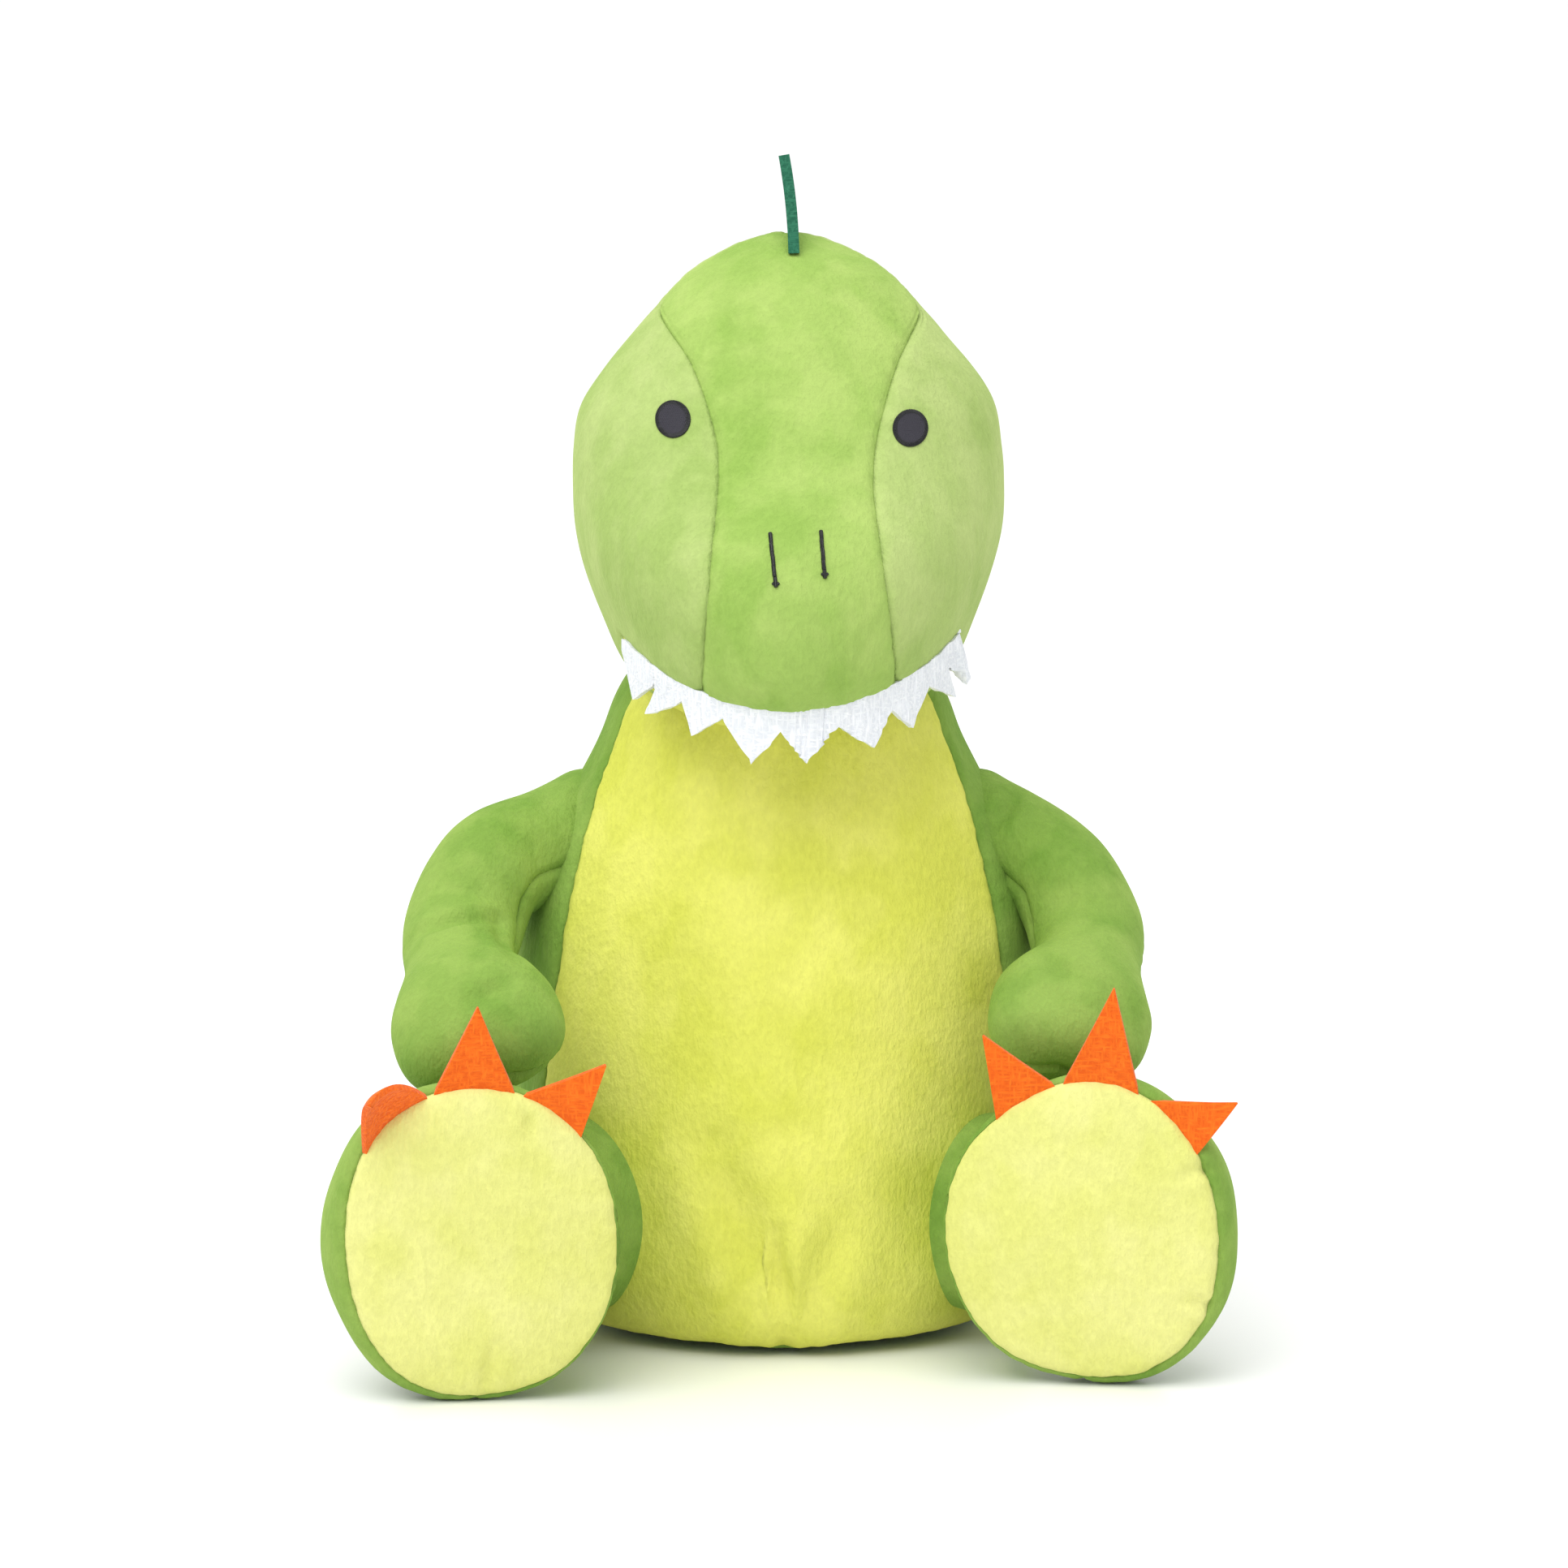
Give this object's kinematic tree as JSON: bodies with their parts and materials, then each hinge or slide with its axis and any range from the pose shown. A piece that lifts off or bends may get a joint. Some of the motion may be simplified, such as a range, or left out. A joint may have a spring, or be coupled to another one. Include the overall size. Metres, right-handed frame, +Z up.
{
  "type": "stuffed dinosaur",
  "caption": "A soft green plush dinosaur that sits upright, with a yellow belly and soles, a felt crest, felt teeth and claws, and stitched eyes.",
  "frame": {"origin": "on the floor under the middle of the toy's overall box", "axes": "+Z up, the toy faces -Y, +X towards its own left side"},
  "size_m": [0.2234, 0.2515, 0.3],
  "materials": {
    "plush_mid_green": "short pile",
    "plush_light_green": "short pile",
    "plush_green": "short pile",
    "plush_yellow": "short pile",
    "plush_pale_yellow": "short pile",
    "felt_orange": "felt",
    "felt_white": "felt",
    "felt_dark_green": "felt",
    "thread_black": "satin stitch",
    "polyester_fibre": "loose fibre",
    "pouch_cloth": "plain weave"
  },
  "bodies": {
    "torso": {"back_panel_left": "plush_green", "back_panel_right": "plush_green", "belly_panel": "plush_yellow", "pellet_pouch": "pouch_cloth", "seat_panel": "plush_green", "spike_back_1": "felt_dark_green", "spike_back_2": "felt_dark_green", "torso_stuffing": "polyester_fibre"},
    "neck": {"neck_stuffing": "polyester_fibre"},
    "head": {"chin_panel": "plush_yellow", "eye_left": "thread_black", "eye_right": "thread_black", "head_gusset": "plush_mid_green", "head_side_left": "plush_light_green", "head_side_right": "plush_light_green", "head_stuffing": "polyester_fibre", "nostril_left": "thread_black", "nostril_right": "thread_black", "spike_head_back": "felt_dark_green", "spike_head_nape": "felt_dark_green", "spike_head_top": "felt_dark_green", "tooth_strip": "felt_white"},
    "arm_left": {"arm_left_lower_panel": "plush_mid_green", "arm_left_stuffing": "polyester_fibre", "arm_left_upper_panel": "plush_mid_green"},
    "arm_right": {"arm_right_lower_panel": "plush_mid_green", "arm_right_stuffing": "polyester_fibre", "arm_right_upper_panel": "plush_mid_green"},
    "leg_left": {"leg_left_claw_1": "felt_orange", "leg_left_claw_2": "felt_orange", "leg_left_claw_3": "felt_orange", "leg_left_inner_panel": "plush_green", "leg_left_outer_panel": "plush_green", "leg_left_sole": "plush_pale_yellow", "leg_left_stuffing": "polyester_fibre"},
    "leg_right": {"leg_right_claw_1": "felt_orange", "leg_right_claw_2": "felt_orange", "leg_right_claw_3": "felt_orange", "leg_right_inner_panel": "plush_green", "leg_right_outer_panel": "plush_green", "leg_right_sole": "plush_pale_yellow", "leg_right_stuffing": "polyester_fibre"},
    "tail": {"spike_tail_1": "felt_dark_green", "spike_tail_2": "felt_dark_green", "spike_tail_3": "felt_dark_green", "tail_panel_left": "plush_green", "tail_panel_right": "plush_green", "tail_stuffing": "polyester_fibre"}
  },
  "joints": [
    {"name": "head_turn", "type": "hinge", "parent": "torso", "child": "neck", "pos_m": [0, -0.024, 0.145], "axis": [0, 0, 1], "range_deg": [-20, 20], "stiffness_Nm_per_rad": 0.25},
    {"name": "head_nod", "type": "hinge", "parent": "neck", "child": "head", "pos_m": [0, -0.024, 0.145], "axis": [1, 0, 0], "range_deg": [-10, 10], "stiffness_Nm_per_rad": 0.6},
    {"name": "arm_swing_left", "type": "hinge", "parent": "torso", "child": "arm_left", "pos_m": [0.04801, -0.024, 0.127], "axis": [-1, 0, 0], "range_deg": [0, 70], "stiffness_Nm_per_rad": 0.12},
    {"name": "arm_swing_right", "type": "hinge", "parent": "torso", "child": "arm_right", "pos_m": [-0.04801, -0.024, 0.127], "axis": [-1, 0, 0], "range_deg": [0, 70], "stiffness_Nm_per_rad": 0.12},
    {"name": "leg_spread_left", "type": "hinge", "parent": "torso", "child": "leg_left", "pos_m": [0.05346, -0.06112, 0.034], "axis": [0, 0, 1], "range_deg": [0, 15], "stiffness_Nm_per_rad": 0.12},
    {"name": "leg_spread_right", "type": "hinge", "parent": "torso", "child": "leg_right", "pos_m": [-0.05346, -0.06112, 0.034], "axis": [0, 0, -1], "range_deg": [0, 15], "stiffness_Nm_per_rad": 0.12},
    {"name": "tail_wag", "type": "hinge", "parent": "torso", "child": "tail", "pos_m": [0, 0.02322, 0.0258], "axis": [0, 0, 1], "range_deg": [-20, 20], "stiffness_Nm_per_rad": 0.12}
  ]
}
